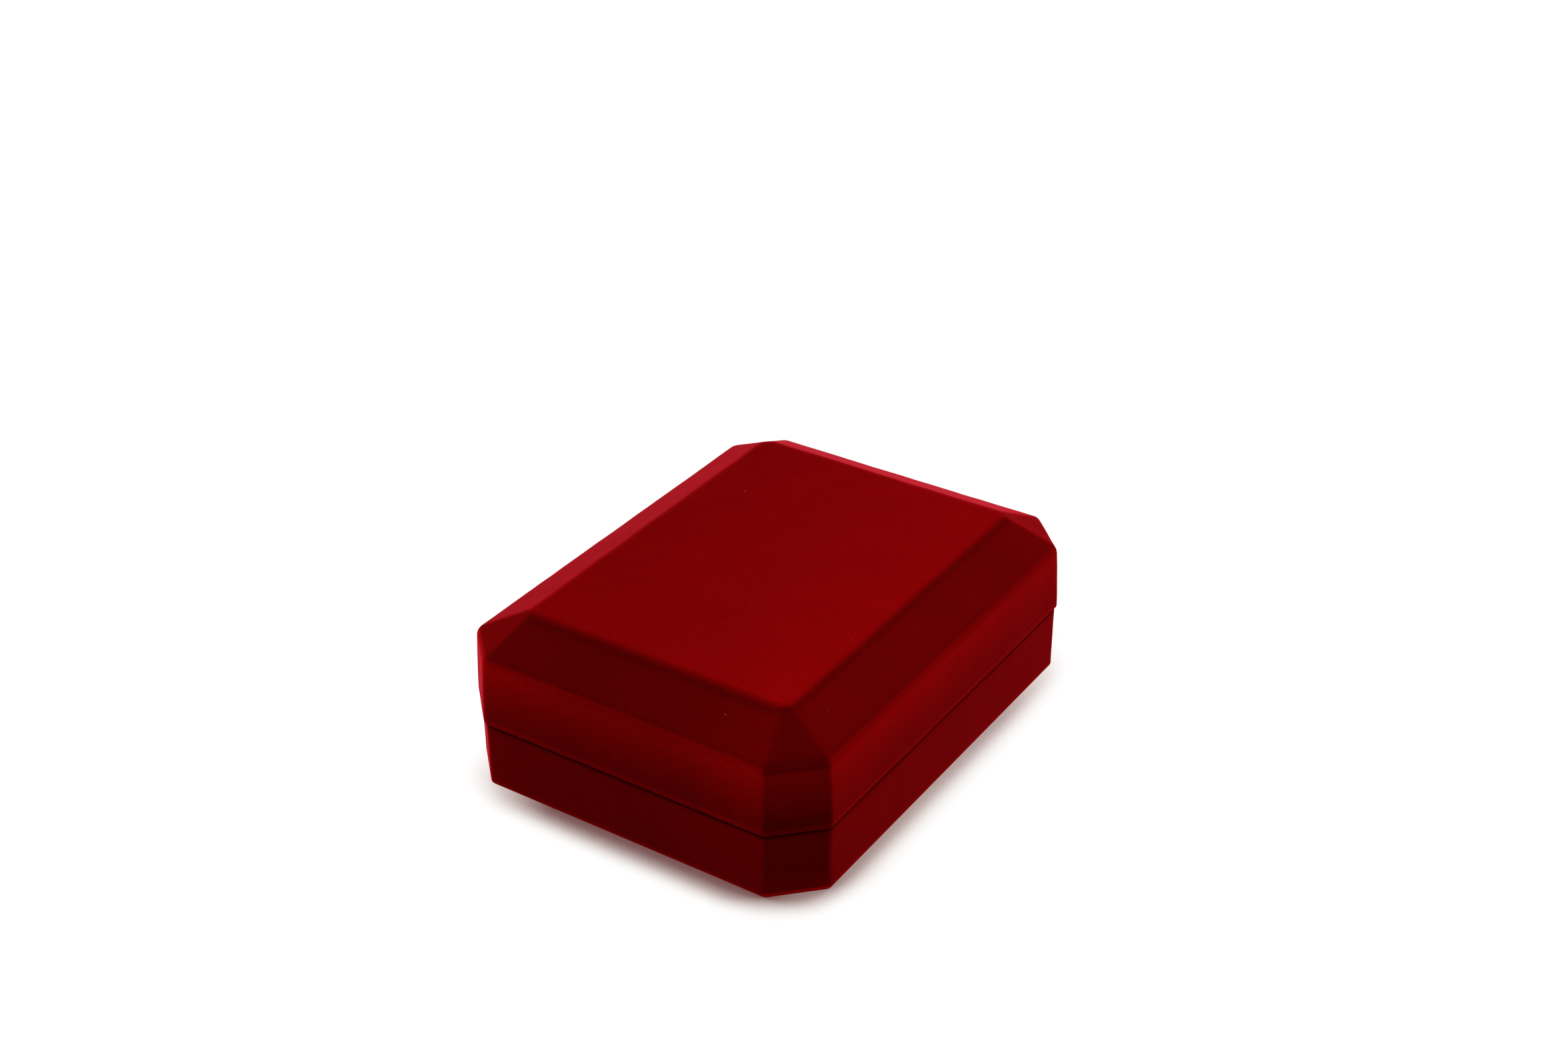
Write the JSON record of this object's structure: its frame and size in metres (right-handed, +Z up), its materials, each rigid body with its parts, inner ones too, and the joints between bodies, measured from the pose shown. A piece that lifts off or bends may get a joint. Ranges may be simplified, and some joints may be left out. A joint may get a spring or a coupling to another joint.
{
  "type": "velvet jewelry case",
  "caption": "Octagonal flocked pendant case with bevelled lid, rear snap hinge, slit velvet pad and satin lid cushion.",
  "frame": {"origin": "centre of the case's underside, which stands on the table", "axes": "+Z up, +Y towards the hinge along the case's length, +X across its width"},
  "size_m": [0.07, 0.0919, 0.0298],
  "materials": {
    "base_flock": "matte",
    "lid_flock": "matte",
    "leaf_steel": "satin",
    "pin_steel": "polished",
    "spring_steel": "satin",
    "grey_sponge": "matte",
    "white_sponge": "matte",
    "grey_card": "matte",
    "pad_velvet": "matte",
    "lid_satin": "satin"
  },
  "bodies": {
    "base": {"base_shell": "base_flock", "hinge_leaf_lower": "leaf_steel", "hinge_pin": "pin_steel", "snap_spring": "spring_steel", "pad_sponge": "grey_sponge", "pad_board": "grey_card", "pad_velvet": "pad_velvet"},
    "lid": {"lid_shell": "lid_flock", "hinge_leaf_upper": "leaf_steel", "lid_card": "grey_card", "lid_sponge": "white_sponge", "lid_satin": "lid_satin"}
  },
  "joints": [
    {"name": "lid_hinge", "type": "hinge", "parent": "base", "child": "lid", "pos_m": [0, 0.04535, 0.0122], "axis": [-1, 0, 0], "range_deg": [0, 100], "deforming": ["snap_spring"]}
  ]
}
